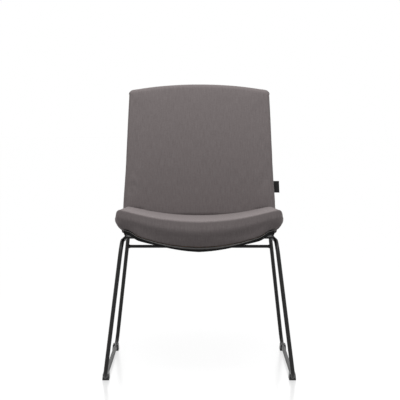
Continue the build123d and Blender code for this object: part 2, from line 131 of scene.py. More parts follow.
# Gathers in the seat's fabric under the front corners, and the foam's easing round them
GATHER_DEEP, GATHER_SPACING, GATHER_LEAST = 0.6, 15.0, 0.02
GATHER_AT, GATHER_WIDE = 196.0, 30.0
GATHER_ABOVE, GATHER_TALL = 6.0, 17.0
EASED_FROM, EASED_RUN = 178.0, 30.0
EASED_DEPTH, EASED_FADE = 100.0, 70.0

# Back padding: a front and a rear panel with a seam round the sides and the top
BACK_TOP = 862.5
BACK_HALF = 243.5
BACK_HALF_TOP = 226.0
NARROWING = (BACK_HALF - BACK_HALF_TOP) / (BACK_TOP - SHELL_HEIGHT)
TOP_ARCH = 20.0
BACK_PAD = 23.5
BACK_EDGE = 12.0
REAR_EDGE = 7.0
TOP_NOSE = 13.0
REAR_OUT = 16.5
SEAM_LEVEL = -5.5
SEAM_DEEP = 1.6
SEAM_SHOULDER, SEAM_BRINK = 2.4, 0.25
BEND_STEPS = 80

# Rings that close the back's sides into the seam, given as the seat's are
BACK_CLOSING = ((0.3, 0.5), (0.6, 0.8), (0.85, 0.6), (0.93, -0.2), (0.985, -1.4))

# Swell of the fabric over its padding, and where it is held down
SEAT_SWELL, BACK_SWELL = 2.4, 1.8
BACK_HELD = 445.0
FACES_DOWN, FACES_FRONT = -0.5, -0.1
SETTLE_FRAMES = 20

# Moulded cover under the seat, with a beaded rim that the fabric tucks in behind
PAN_IN = -11.2
PAN_OUT = -14.2
PAN_HALF = 217.4
PAN_GAP, PAN_WALL, WALL_TOP = 0.2, 0.25, -0.4
PAN_TRIM_NEAR, PAN_TRIM = 0.25, 0.8
PAN_FIT, LIP_FIT = GLUE + 0.1, 0.3
BEAD = 2.9
BEAD_FADE = 0.6
BEAD_HALF = 170.0
BEAD_TURN = 240.0
BEAD_STEPS = 10
RIM_PROUD = 1.5
RIM_COVER = 1.6
RIM_GAP = 0.3
RIM_DRAFT = 0.8
RIM_TALL = 13.5
RIM_TALL_SIDE = 8.0
RIM_SIDE = 140.0
RIM_UNDER = 1.2

# Sewn tab in the side seam: a length of tape folded over, flat in the seam and open at its fold
TAB_LOW, TAB_HIGH, TAB_OUT, TAB_IN = 514.0, 551.0, 17.0, 5.0
TAPE_THICK, TAPE_FOLD, TAPE_CURL = 0.9, 1.1, 1.4
TAPE_PINCH, TAPE_OPEN = 0.35, 8.0
TAPE_STEPS, TAPE_ROWS = 8, 12

# Depth of the seat's foremost point, which the frame's seat cover places in the chair
NOSE_FRONT = -2.93
front_to_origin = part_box("seat_cover")[0].y / MM - NOSE_FRONT


def polar(center, radius, angle):
    """Point round a centre in the side view."""
    return (center[0] + radius * cos(radians(angle)), center[1] + radius * sin(radians(angle)))


def between(a, b, share):
    """Point part of the way from one to another."""
    return tuple(p + (q - p) * share for p, q in zip(a, b))


def run_line(start, end, count):
    """Points along a straight stretch, without its last one."""
    return [between(start, end, i / count) for i in range(count)]


def run_arc(center, radius, start, end, count):
    """Points along an arc, without its last one."""
    return [polar(center, radius, start + (end - start) * i / count) for i in range(count)]


def run_swoop(start, end, heading, count):
    """Points along an arc that leaves along a heading, without its last one."""
    chord = degrees(atan2(end[1] - start[1], end[0] - start[0]))
    turn = (heading - chord + 180) % 360 - 180
    if abs(turn) < 0.01:
        return run_line(start, end, count)
    radius = hypot(end[0] - start[0], end[1] - start[1]) / 2 / sin(radians(turn))
    center = polar(start, radius, heading - 90)
    return run_arc(center, radius, heading + 90, heading + 90 - 2 * turn, count)


def run_settle(start, end, heading, count):
    """Points along an arc that arrives along a heading, without its last one."""
    chord = degrees(atan2(end[1] - start[1], end[0] - start[0]))
    return run_swoop(start, end, 2 * chord - heading, count)


def shell_height(depth):
    """Height of the plywood's top face along the straight seat."""
    return SHELL_HEIGHT - (depth - FRONT_INSET) * tan(radians(SEAT_SLOPE))


def dish(x):
    """Rise of the dished seat towards its sides, levelling off softly at the ends."""
    rise = SEAT_DISH * (abs(x) / DISH_HALF) ** DISH_POWER
    return -DISH_SOFT * log(exp(-rise / DISH_SOFT) + exp(-DISH_MOST / DISH_SOFT))


def ease(share):
    """Soft step from 0 to 1."""
    share = min(1.0, max(0.0, share))
    return share * share * (3 - 2 * share)


def corner_lift(x, depth, height):
    """Rise of the underside at the two front corners, where the shell's lip turns up."""
    lift = CORNER_LIFT * ease((abs(x) - CORNER_FROM) / CORNER_RUN)
    lift *= 1 - ease((depth - CORNER_DEPTH) / CORNER_FADE)
    return lift * (1 - ease((height - CORNER_HEIGHT) / CORNER_TALL))


class ShellSide:
    """Side view of the plywood at one distance from the middle."""

    def __init__(self, x, front_shift=0.0):
        tangent = BACK_BEND * tan(radians((90 - LEAN_LOW + SEAT_SLOPE) / 2))
        corner_y = CREASE_DEPTH + BACK_PAD / cos(radians(LEAN_LOW))
        corner_y -= CREASE_HEIGHT * tan(radians(LEAN_LOW)) + BACK_SAG * (x / BACK_HALF) ** 2
        front_y = FRONT_INSET + front_shift
        self.front_top = (front_y, shell_height(front_y))
        self.front = polar(self.front_top, -FRONT_BEND, UP)
        bend_start = polar((corner_y, shell_height(corner_y)), -tangent, -SEAT_SLOPE)
        self.bend = polar(bend_start, BACK_BEND, UP)
        self.bend_low = UP + 180
        self.bend_high = 360 - LEAN_LOW
        self.bend_middle = (self.bend_low + self.bend_high) / 2
        bend_end = polar(self.bend, BACK_BEND, self.bend_high)
        rise = sin(radians(LEAN_TOP)) - sin(radians(LEAN_LOW))
        self.sweep = (SHELL_TOP - bend_end[1]) / rise
        self.back = polar(bend_end, self.sweep, -LEAN_LOW)
        self.back_low = 180 - LEAN_LOW
        radius = (LIP_HALF**2 + LIP_RISE**2) / (2 * LIP_RISE)
        drop = LIP_DROP - radius + sqrt(radius**2 - x**2)
        share = min(1.0, sin(radians(UP)) - drop / FRONT_BEND)
        full_turn = UP + max(LIP_MIN_TURN, 180 - degrees(asin(share)) - UP)
        self.hem_angle = max(full_turn - HEM_SHORT, UP + HEM_MIN_TURN)
        self.lip_angle = self.hem_angle + LIP_PAST_HEM

    def back_angle(self, height, level):
        """Angle on the back's long arc at a height, on a face at a level in front of the plywood."""
        return 180 - degrees(asin((height - self.back[1]) / (self.sweep + level)))

    def crease(self, x, level):
        """Point where the seat's top meets the back, on a face at a level in front of the plywood."""
        face = polar(self.bend, BACK_BEND - level, self.bend_high)
        height = shell_height(face[0]) + CREASE_HEIGHT + dish(x)
        return polar(face, (height - face[1]) / cos(radians(LEAN_LOW)), 90 - LEAN_LOW)


def edge_places(half, radius, field, edge):
    """Places across a pad from the middle outwards, with the angle round its rolled edge."""
    flat = half - radius
    places = [(flat * i / field, 90.0) for i in range(field + 1)]
    steps = [90 - 90 * (i + 1) / edge for i in range(edge)]
    return places + [(flat + radius * cos(radians(step)), step) for step in steps]


def rolled(share):
    """Fall of a rolled end, from 0 where it starts to 1 at the tip."""
    share = min(1.0, max(0.0, share))
    return 1 - (1 - share**END_ROUND) ** (1 / END_ROUND)


def tuck_depth(turn, bend, drop):
    """How far the seat's lower face goes in under its front, for the angle that it turns."""
    lower = drop - bend * (sin(radians(turn)) + sin(radians(NOSE_FACE_TILT)))
    return bend * (1 - cos(radians(turn))) + lower * tan(radians(turn))


def seat_section(x):
    """Side view of the seat pad, counterclockwise from the foot of its rear face."""
    away = rolled((x - SEAT_HALF + END_RUN) / END_RUN)
    side = ShellSide(x, END_BACK * away)
    level = GLUE + ROLL_UNDER * rolled((x - UNDER_FLAT) / (SEAT_HALF - UNDER_FLAT))
    crest = side.front_top[1] + CREST_THICKNESS + dish(x) - SEAT_ROLL * away
    hem = polar(side.front, FRONT_BEND + level, side.hem_angle)
    tall = crest - hem[1]
    edge, bend = NOSE_EDGE_SHARE * tall, NOSE_BEND_SHARE * tall
    face_angle = 180 - NOSE_FACE_TILT
    face_top = crest - edge + edge * sin(radians(NOSE_FACE_TILT))
    face_low = face_top - NOSE_FACE_SHARE * tall
    face_out = NOSE_FACE_SHARE * tall * tan(radians(NOSE_FACE_TILT))
    drop = face_low - hem[1]
    tuck = (hem[0] - TUCK * min(1.0, tall / TUCK_FULL), hem[1])
    # The lower face turns in as far as takes the seat's front out to its bow
    bow = SEAT_NOSE + SEAT_BOW * (x / LIP_HALF) ** 2 + END_BACK * away
    turn, most = NOSE_TUCK_LEAST, NOSE_TUCK_MOST
    for _ in range(TUCK_HALVINGS):
        middle = (turn + most) / 2
        if tuck_depth(middle, bend, drop) < tuck[0] - bow:
            turn = middle
        else:
            most = middle
    front = tuck[0] - tuck_depth(turn, bend, drop)
    bend_center = (front + bend, face_low - bend * sin(radians(NOSE_FACE_TILT)))
    face_end = polar(bend_center, bend, face_angle)
    face_start = (face_end[0] + face_out, face_top)
    edge_center = polar(face_start, -edge, face_angle)
    crest_end = polar(edge_center, edge, 90 - CREST_FALL)
    bend_end = polar(bend_center, bend, 180 + turn)
    mitre_turn = (side.bend_middle - side.bend_low) * (1 - MITRE_FADE * away)
    mitre_angle = side.bend_low + mitre_turn - degrees(CREASE_GAP / BACK_BEND)
    mitre = polar(side.bend, BACK_BEND - level, mitre_angle)
    crease = polar(side.crease(x, BACK_PAD + CREASE_GAP), -SEAT_ROLL * away, 90 - LEAN_LOW)
    under_front = polar(side.front, FRONT_BEND + level, UP)
    under_rear = polar(side.bend, BACK_BEND - level, side.bend_low)
    points = run_line(under_front, under_rear, 30)
    points += run_arc(side.bend, BACK_BEND - level, side.bend_low, mitre_angle, 5)
    rear_foot = len(points) + 1
    points += run_line(mitre, crease, 4)
    points += run_settle(crease, crest_end, 180 - CREST_FALL, 42)
    points += run_arc(edge_center, edge, 90 - CREST_FALL, face_angle, 9)
    points += run_line(face_start, face_end, 3)
    points += run_arc(bend_center, bend, face_angle, 180 + turn, 6)
    points += run_line(bend_end, tuck, 5)
    points += run_line(tuck, hem, 2)
    points += run_arc(side.front, FRONT_BEND + level, side.hem_angle, UP, 8)
    return points[rear_foot:] + points[:rear_foot]


def back_section(x, step):
    """Side view of the back pad, counterclockwise from its seam at the top."""
    away = 1 - sin(radians(step))
    side = ShellSide(x)
    front = BACK_PAD - BACK_EDGE * away
    rear = REAR_EDGE * away - REAR_OUT
    top = BACK_TOP - TOP_ARCH * (x / BACK_HALF) ** 2 - BACK_EDGE * away
    front_angle = side.back_angle(top - TOP_NOSE, front)
    rear_angle = side.back_angle(top - REAR_EDGE, rear)
    front_end = polar(side.back, side.sweep + front, front_angle)
    rear_end = polar(side.back, side.sweep + rear, rear_angle)
    nose_end = (front_end[0] + TOP_NOSE, top)
    rear_start = (rear_end[0] - REAR_EDGE, top)
    seam_y = polar(side.back, side.sweep + SEAM_LEVEL, side.back_angle(top, SEAM_LEVEL))[0]
    shoulder = (seam_y - SEAM_SHOULDER * SEAM_DEEP, top)
    brink = top - SEAM_BRINK * SEAM_DEEP
    low_front = polar(side.bend, BACK_BEND - front, side.bend_high)
    crease = side.crease(x, front)
    mitre = polar(side.bend, BACK_BEND - GLUE, side.bend_middle)
    under = polar(side.bend, BACK_BEND - rear, side.bend_low)
    floor_line = polar(side.bend, BACK_BEND - GLUE, side.bend_low)
    points = run_line(crease, low_front, 3)
    points += run_arc(side.back, side.sweep + front, side.back_low, front_angle, 48)
    points += run_swoop(front_end, nose_end, 90 - LEAN_TOP, 8)
    points += run_line(nose_end, shoulder, 3)
    points += [shoulder, (seam_y - SEAM_DEEP, brink), (seam_y, top - SEAM_DEEP)]
    past_seam = len(points)
    points += [(seam_y + SEAM_DEEP, brink)]
    points += run_swoop(rear_start, rear_end, 0, 7)
    points += run_arc(side.back, side.sweep + rear, rear_angle, side.back_low, 48)
    points += run_arc(side.bend, BACK_BEND - rear, side.bend_high, side.bend_low, 12)
    points += run_line(under, floor_line, 2)
    points += run_arc(side.bend, BACK_BEND - GLUE, side.bend_low, side.bend_middle, 5)
    points += run_line(mitre, crease, 4)
    return (points[past_seam:] + points[:past_seam])[::-1]


def seat_core(x):
    """Line inside the seat's rolled side that the fabric closes on."""
    side = ShellSide(x, END_BACK)
    middle = (ROLL_UNDER + CREST_THICKNESS + dish(x) - SEAT_ROLL) / 2
    front = polar(side.front_top, middle, UP)
    rear = polar(side.crease(x, BACK_PAD + CORE_IN), -SEAT_ROLL - CORE_DOWN, 90 - LEAN_LOW)
    return [between(front, rear, i / CORE_STEPS) for i in range(CORE_STEPS + 1)]


def back_core(x):
    """Line of the side seam, from the rear bend to the top of the back."""
    side = ShellSide(x)
    top = BACK_TOP - TOP_ARCH * (x / BACK_HALF) ** 2 - BACK_EDGE - SEAM_DEEP
    line = run_arc(side.bend, BACK_BEND - SEAM_LEVEL, side.bend_low, side.bend_high, BEND_STEPS)
    top_angle = side.back_angle(top, SEAM_LEVEL)
    return line + run_arc(side.back, side.sweep + SEAM_LEVEL, side.back_low, top_angle, CORE_STEPS)


def pan_section(x, inner, trim=0.0):
    """Side view of the moulded cover, counterclockwise from the top of its beaded rim."""
    side = ShellSide(x)
    hem = polar(side.front, FRONT_BEND + GLUE, side.hem_angle)
    lip = polar(side.front, FRONT_BEND, side.lip_angle)
    rim_y = min(hem[0] - TUCK - RIM_PROUD, lip[0] - RIM_COVER) + trim
    ledge = hem[1] - RIM_GAP - trim
    round_edge = BEAD * (1 - BEAD_FADE * min(1.0, (x / BEAD_HALF) ** 2))
    bead = (rim_y + round_edge, ledge - round_edge)
    bead_end = polar(bead, round_edge, BEAD_TURN)
    ply_low = polar(side.front, FRONT_BEND - PLY, side.lip_angle)[1]
    tall = RIM_TALL + (RIM_TALL_SIDE - RIM_TALL) * min(1.0, x / RIM_SIDE)
    skirt = (bead_end[0] + RIM_DRAFT, min(hem[1] - tall, ply_low - RIM_UNDER) + trim)
    outer = PAN_OUT + trim
    sole = 180 - degrees(asin(min(1.0, (skirt[1] - side.front[1]) / (FRONT_BEND + outer))))
    sole = max(sole, UP)
    sole_start = polar(side.front, FRONT_BEND + outer, sole)
    under_front = polar(side.front, FRONT_BEND + outer, UP)
    under_rear = polar(side.bend, BACK_BEND - outer, side.bend_low)
    inner_rear = polar(side.bend, BACK_BEND - inner, side.bend_low)
    inner_front = polar(side.front, FRONT_BEND + inner, UP)
    lip_turn = side.lip_angle + LIP_FIT
    points = run_arc(bead, round_edge, 90, BEAD_TURN, BEAD_STEPS)
    points += run_line(bead_end, skirt, 3)
    points += run_line(skirt, sole_start, 4)
    points += run_arc(side.front, FRONT_BEND + outer, sole, UP, 12)
    points += run_line(under_front, under_rear, 24)
    points += run_line(under_rear, inner_rear, 2)
    points += run_line(inner_rear, inner_front, 24)
    points += run_arc(side.front, FRONT_BEND + inner, UP, lip_turn, 12)
    points += [polar(side.front, FRONT_BEND + inner, lip_turn)]
    points += run_arc(side.front, FRONT_BEND + PAN_FIT, lip_turn, side.hem_angle, 6)
    return points + [polar(side.front, FRONT_BEND + PAN_FIT, side.hem_angle)]


def shell_section(x):
    """Side view of the moulded plywood, counterclockwise from the underside of its front lip."""
    side = ShellSide(x)
    top = SHELL_TOP - SHELL_ARCH * (x / SHELL_HALF) ** 2
    lines = []
    for level in (-PLY, 0.0):
        flat_front = polar(side.front, FRONT_BEND + level, UP)
        flat_rear = polar(side.bend, BACK_BEND - level, side.bend_low)
        top_angle = side.back_angle(top, level)
        line = run_arc(side.front, FRONT_BEND + level, side.lip_angle, UP, 10)
        line += run_line(flat_front, flat_rear, 24)
        line += run_arc(side.bend, BACK_BEND - level, side.bend_low, side.bend_high, 10)
        line += run_arc(side.back, side.sweep + level, side.back_low, top_angle, 30)
        lines.append(line + [polar(side.back, side.sweep + level, top_angle)])
    return lines[0] + lines[1][::-1]


def close_in(section, core, share):
    """Section drawn in towards the line that its end closes on."""
    drawn = []
    for point in section:
        near = min(core, key=lambda c: hypot(c[0] - point[0], c[1] - point[1]))
        drawn.append(between(point, near, share))
    return drawn


def placed(x, depth, height, narrowing=0.0):
    """Point of the chair in metres, drawn in by the back's taper and lifted at the front corners."""
    width = x * (1 - narrowing * (height - SHELL_HEIGHT) / BACK_HALF)
    return Vector((width, depth + front_to_origin, height + corner_lift(x, depth, height))) * MM


def shaped(name, points, faces, runs=None):
    """Smooth object from points and faces, with a run in metres for each face corner as UVs."""
    mesh = bpy.data.meshes.new(name)
    mesh.from_pydata(points, [], faces)
    if runs:
        layer = mesh.uv_layers.new(name="cloth_run")
        layer.data.foreach_set("uv", [value for pair in runs for value in pair])
    mesh.polygons.foreach_set("use_smooth", [True] * len(mesh.polygons))
    mesh.update()
    piece = bpy.data.objects.new(name, mesh)
    bpy.context.scene.collection.objects.link(piece)
    return piece


def mirrored(sections, narrowing=0.0):
    """Rings from one end to the other, over side views given from the middle outwards."""
    half = [[placed(x, y, z, narrowing) for y, z in section] for x, section in sections]
    return [[Vector((-p.x, p.y, p.z)) for p in ring] for ring in reversed(half[1:])] + half


def pad_mesh(name, sections, narrowing=0.0):
    """Closed pad or sheet whose ends are zipped from top to bottom, with its run as UVs."""
    count = len(sections[0][1])
    rings = mirrored(sections, narrowing)
    across = [0.0]
    for near, far in zip(rings, rings[1:]):
        across.append(across[-1] + min((b - a).length for a, b in zip(near, far)))
    middle = rings[len(rings) // 2]
    along = [0.0]
    for i in range(count):
        along.append(along[-1] + (middle[(i + 1) % count] - middle[i]).length)
    faces, cloth = [], []
    for r in range(len(rings) - 1):
        for i in range(count):
            low, high = r * count, (r + 1) * count
            j = (i + 1) % count
            faces.append((low + i, low + j, high + j, high + i))
            cloth += [(across[r], along[i]), (across[r], along[i + 1])]
            cloth += [(across[r + 1], along[i + 1]), (across[r + 1], along[i])]
    for first, flip in ((0, True), ((len(rings) - 1) * count, False)):
        place = across[0] if flip else across[-1]
        for i in range(count // 2 - 1):
            corners = [i, i + 1, count - 2 - i, count - 1 - i]
            corners = corners[::-1] if flip else corners
            faces.append(tuple(first + c for c in corners))
            cloth += [(place, along[c]) for c in corners]
    return shaped(name, [p for ring in rings for p in ring], faces, cloth)


def moulding_mesh(name, sections):
    """Closed moulding with flat ends, whose bead takes its second material, painted paler grey as a
    highlight.
    """
    count = len(sections[0][1])
    rings = mirrored(sections)
    faces = []
    for r in range(len(rings) - 1):
        for i in range(count):
            low, high = r * count, (r + 1) * count
            j = (i + 1) % count
            faces.append((low + i, low + j, high + j, high + i))
    last = (len(rings) - 1) * count
    faces.append(tuple(range(count))[::-1])
    faces.append(tuple(last + i for i in range(count)))
    piece = shaped(name, [p for ring in rings for p in ring], faces)
    # The bead's faces take the second material, painted paler grey as a highlight
    crown = [int(f % count < BEAD_STEPS) for f in range(len(faces) - 2)] + [0, 0]
    piece.data.polygons.foreach_set("material_index", crown)
    return piece


def plump(pad, held, reach):
    """Lets the fabric swell and settle over its padding, by its reach in metres at most."""
    shape = pad.data
    start = [vertex.co.copy() for vertex in shape.vertices]
    group = pad.vertex_groups.new(name="held_down")
    group.add(held, 1.0, "REPLACE")
    cloth = pad.modifiers.new("fabric", "CLOTH")
    cloth.settings.quality = 5
    cloth.settings.mass = 0.3
    cloth.settings.tension_stiffness = 15
    cloth.settings.compression_stiffness = 15
    cloth.settings.shear_stiffness = 5
    cloth.settings.bending_stiffness = 0.5
    cloth.settings.use_pressure = True
    cloth.settings.uniform_pressure_force = 4
    cloth.settings.vertex_group_mass = group.name
    cloth.settings.effector_weights.gravity = 0
    cloth.collision_settings.use_collision = False
    cloth.point_cache.frame_start = 1
    cloth.point_cache.frame_end = SETTLE_FRAMES
    for step in range(1, SETTLE_FRAMES + 1):
        bpy.context.scene.frame_set(step)
    settled = pad.evaluated_get(bpy.context.evaluated_depsgraph_get()).data
    places = [vertex.co.copy() for vertex in settled.vertices]
    pad.modifiers.remove(cloth)
    bpy.context.scene.frame_set(1)
    for vertex, old, new in zip(shape.vertices, start, places):
        move = new - old
        vertex.co = old + move * min(1.0, reach / max(move.length, 1e-9))
    shape.update()


def pucker(pad):
    """Small gathers where the seat's fabric is pulled in under its two front corners."""
    moves = []
    for vertex in pad.data.vertices:
        x = abs(vertex.co.x) / MM
        side = ShellSide(min(x, SHELL_HALF))
        low = vertex.co.z / MM - polar(side.front, FRONT_BEND, side.hem_angle)[1]
        corner = exp(-(((x - GATHER_AT) / GATHER_WIDE) ** 2))
        corner *= exp(-(((low - GATHER_ABOVE) / GATHER_TALL) ** 2))
        if vertex.normal.y < FACES_FRONT and corner > GATHER_LEAST:
            moves.append((vertex, GATHER_DEEP * corner * sin(2 * pi * x / GATHER_SPACING) * MM))
    for vertex, move in moves:
        vertex.co += vertex.normal * move
    pad.data.update()


def hex_color(code):
    """Linear colour of an sRGB hex value."""
    parts = [int(code[i : i + 2], 16) / 255 for i in (1, 3, 5)]
    return tuple(c / 12.92 if c <= 0.04045 else ((c + 0.055) / 1.055) ** 2.4 for c in parts) + (1.0,)


def add_node(tree, kind, inputs=None, stops=(), **settings):
    """Adds a shader node with its settings, values, links and colour stops."""
    node = tree.nodes.new("ShaderNode" + kind)
    for name, value in settings.items():
        setattr(node, name, value)
    for name, value in (inputs or {}).items():
        if isinstance(value, bpy.types.NodeSocket):
            tree.links.new(value, node.inputs[name])
        else:
            node.inputs[name].default_value = value
    for i, (position, code) in enumerate(stops):
        node.color_ramp.elements[i].position = position
        node.color_ramp.elements[i].color = hex_color(code)
    return node


def blank_material(name):
    """New material with an empty node tree."""
    material = bpy.data.materials.new(name)
    material.use_nodes = True
    material.node_tree.nodes.clear()
    return material, material.node_tree


# Seat: one bag of fabric over foam, glued to the shell underneath and tucked behind the rim
seat_places = edge_places(SEAT_HALF, END_RUN, field=24, edge=10)
seat_sections = [(x, seat_section(x)) for x, _ in seat_places]
seat_line = seat_core(SEAT_HALF)
seat_end = seat_sections[-1][1]
for share, out in SEAT_CLOSING:
    seat_sections.append((SEAT_HALF + out, close_in(seat_end, seat_line, share)))
seat_upholstery = pad_mesh("seat_upholstery", seat_sections)

# Back: front and rear panels sewn together along the sides and the top
back_places = edge_places(BACK_HALF, BACK_EDGE, field=26, edge=8)
back_sections = [(x, back_section(x, step)) for x, step in back_places]
back_line = back_core(BACK_HALF)
back_end = back_sections[-1][1]
for share, out in BACK_CLOSING:
    back_sections.append((BACK_HALF + out, close_in(back_end, back_line, share)))
back_upholstery = pad_mesh("back_upholstery", back_sections, NARROWING)

# The fabric starts a little inside its shape, held where it is glued down, and swells out to it
for pad, held_test, reach in (
    (seat_upholstery, lambda point, normal: normal.z < FACES_DOWN, SEAT_SWELL * MM),
    (back_upholstery, lambda point, normal: normal.z < FACES_DOWN or point.z < BACK_HELD * MM,
     BACK_SWELL * MM),
):
    shape = pad.data
    normals = [vertex.normal.copy() for vertex in shape.vertices]
    held = [v.index for v, n in zip(shape.vertices, normals) if held_test(v.co, n)]
    for vertex, normal in zip(shape.vertices, normals):
        vertex.co -= normal * reach / 2
    plump(pad, held, reach)
pucker(seat_upholstery)

# The two front corners are eased, as foam rounds off under its fabric
corners = seat_upholstery.vertex_groups.new(name="front_corners")
for vertex in seat_upholstery.data.vertices:
    depth = vertex.co.y / MM - front_to_origin
    soft = ease((abs(vertex.co.x) / MM - EASED_FROM) / EASED_RUN)
    soft *= 1 - ease((depth - EASED_DEPTH) / EASED_FADE)
    corners.add([vertex.index], soft, "REPLACE")
easing = seat_upholstery.modifiers.new("eased_corners", "SMOOTH")
easing.factor = 0.5
easing.iterations = 14
easing.vertex_group = corners.name
for pad in (seat_upholstery, back_upholstery):
    smooth = pad.modifiers.new("smooth_cloth", "SUBSURF")
    smooth.levels = smooth.render_levels = 1
    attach(pad, "root")
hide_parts("seat_cover", "seat_foam")
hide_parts("back_front_cover", "back_rear_cover", "back_foam", "back_wadding")

# Plywood shell: one sheet bent down at the front and up into the back, cut to a curve along its lip
shell_places = [SHELL_HALF * i / SHELL_STEPS for i in range(SHELL_STEPS + 1)]
shell_sheet = pad_mesh("plywood_sheet", [(x, shell_section(x)) for x in shell_places], NARROWING)
shell_sheet.data.set_sharp_from_angle(angle=radians(SHARP_EDGE))
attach(shell_sheet, "root")
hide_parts("plywood_shell")

# Moulded cover: a thin tray under the shell, with a bead along its front and walls at its sides
pan_sections = [(x, pan_section(x, PAN_IN)) for x in shell_places + [SHELL_HALF + PAN_GAP]]
pan_sections += [(x, pan_section(x, WALL_TOP)) for x in (SHELL_HALF + PAN_WALL, PAN_HALF - PAN_TRIM)]
for x, trim in ((PAN_HALF - PAN_TRIM_NEAR, PAN_TRIM_NEAR), (PAN_HALF, PAN_TRIM)):
    pan_sections.append((x, pan_section(PAN_HALF, WALL_TOP - trim, trim)))
seat_pan = moulding_mesh("moulded_seat_pan", pan_sections)
seat_pan.data.set_sharp_from_angle(angle=radians(SHARP_EDGE))
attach(seat_pan, "root")
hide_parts("under_seat_cover")

# Sewn tab: a length of black tape folded over, its two ends in the side seam
seam_side = ShellSide(BACK_HALF)
fold_start = TAB_OUT - TAPE_FOLD
tape_reach = [-TAB_IN + (fold_start + TAB_IN) * i / TAPE_STEPS for i in range(TAPE_STEPS + 1)]
tape_line = [(out, -TAPE_FOLD) for out in tape_reach[:-1]]
tape_line += run_arc((fold_start, 0.0), TAPE_FOLD, -90, 90, TAPE_STEPS)
tape_line += [(out, TAPE_FOLD) for out in reversed(tape_reach)]
tape_run = [0.0]
for near, far in zip(tape_line, tape_line[1:]):
    tape_run.append(tape_run[-1] + hypot(far[0] - near[0], far[1] - near[1]))
tape_points, tape_faces, tape_runs = [], [], []
for row in range(TAPE_ROWS + 1):
    height = TAB_LOW + (TAB_HIGH - TAB_LOW) * row / TAPE_ROWS
    seam_angle = seam_side.back_angle(height, SEAM_LEVEL)
    seam_depth = polar(seam_side.back, seam_side.sweep + SEAM_LEVEL, seam_angle)[0]
    seam_x = BACK_HALF - NARROWING * (height - SHELL_HEIGHT)
    for out, depth in tape_line:
        bared = max(out, 0.0)
        curl = TAPE_CURL * (bared / TAB_OUT) ** 2 * sin(pi * row / TAPE_ROWS)
        spread = min(1.0, TAPE_PINCH + bared / TAPE_OPEN)
        tape_points.append(placed(seam_x + out, seam_depth + depth * spread + curl, height))
tape_count = len(tape_line)
for row in range(TAPE_ROWS):
    for i in range(tape_count - 1):
        low, high = row * tape_count + i, (row + 1) * tape_count + i
        tape_faces.append((low, low + 1, high + 1, high))
        for corner_row, corner in ((row, i), (row, i + 1), (row + 1, i + 1), (row + 1, i)):
            tape_runs.append((tape_run[corner] * MM, (TAB_HIGH - TAB_LOW) * corner_row / TAPE_ROWS * MM))
tape_tab = shaped("sewn_tape_tab", tape_points, tape_faces, tape_runs)
thickness = tape_tab.modifiers.new("tape_thickness", "SOLIDIFY")
thickness.thickness = TAPE_THICK * MM
thickness.offset = 0
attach(tape_tab, "root")
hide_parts("label_tab")

# A wave texture repeats after this length at a scale of 1
WAVE = 0.31416

# Woven wool: matt threads of mixed grey fibre, slubs along them, and a pale bloom where the eye
# skims the pile. The real threads are about 1.3 mm apart, too fine to show, so they are drawn at 2.4.
wool, tree = blank_material("woven_wool")
THREAD, FLECK, SLUB = 2.4 * MM, 5.5 * MM, 30 * MM
run = add_node(tree, "UVMap", uv_map="cloth_run").outputs["UV"]
warp = add_node(tree, "TexWave", {
    "Vector": run, "Scale": WAVE / THREAD, "Distortion": 0.6, "Detail": 1.0}, bands_direction="X")
weft = add_node(tree, "TexWave", {
    "Vector": run, "Scale": WAVE / THREAD, "Distortion": 0.6, "Detail": 1.0}, bands_direction="Y")
weave = add_node(tree, "Math", {0: warp.outputs["Fac"], 1: weft.outputs["Fac"]}, operation="MULTIPLY")
fleck = add_node(tree, "TexNoise", {"Vector": run, "Scale": 1 / FLECK, "Detail": 5.0, "Roughness": 0.7})
stretch = add_node(tree, "Mapping", {"Vector": run, "Scale": (1 / THREAD, 1 / SLUB, 1)})
slub = add_node(tree, "TexNoise", {"Vector": stretch.outputs["Vector"], "Scale": 1.0, "Detail": 2.0})
mixed = add_node(tree, "Math", {0: fleck.outputs["Fac"], 1: slub.outputs["Fac"]}, operation="ADD")
fibre = add_node(tree, "MapRange", {"Value": mixed.outputs[0], "From Min": 0.62, "From Max": 1.38})
tone = add_node(tree, "ValToRGB", {"Fac": fibre.outputs["Result"]}, ((0.1, "#6a6363"), (0.9, "#787171")))
gap = add_node(tree, "MapRange", {"Value": weave.outputs[0], "To Min": 0.93, "To Max": 1.04})
shade = add_node(tree, "Mix", {
    "Factor": 1.0, 6: tone.outputs["Color"], 7: gap.outputs["Result"]},
    data_type="RGBA", blend_type="MULTIPLY")
relief = add_node(tree, "Math", {0: weave.outputs[0], 1: fleck.outputs["Fac"]}, operation="ADD")
bump = add_node(tree, "Bump", {"Height": relief.outputs[0], "Strength": 0.3, "Distance": 0.6 * MM})
shader = add_node(tree, "BsdfPrincipled", {
    "Base Color": shade.outputs[2], "Roughness": 0.92, "Normal": bump.outputs["Normal"],
    "Specular IOR Level": 0.15, "Sheen Weight": 0.18, "Sheen Roughness": 0.5,
    "Sheen Tint": hex_color("#d8d0d0")})
add_node(tree, "OutputMaterial", {"Surface": shader.outputs["BSDF"]})
for pad in (seat_upholstery, back_upholstery):
    pad.data.materials.append(wool)

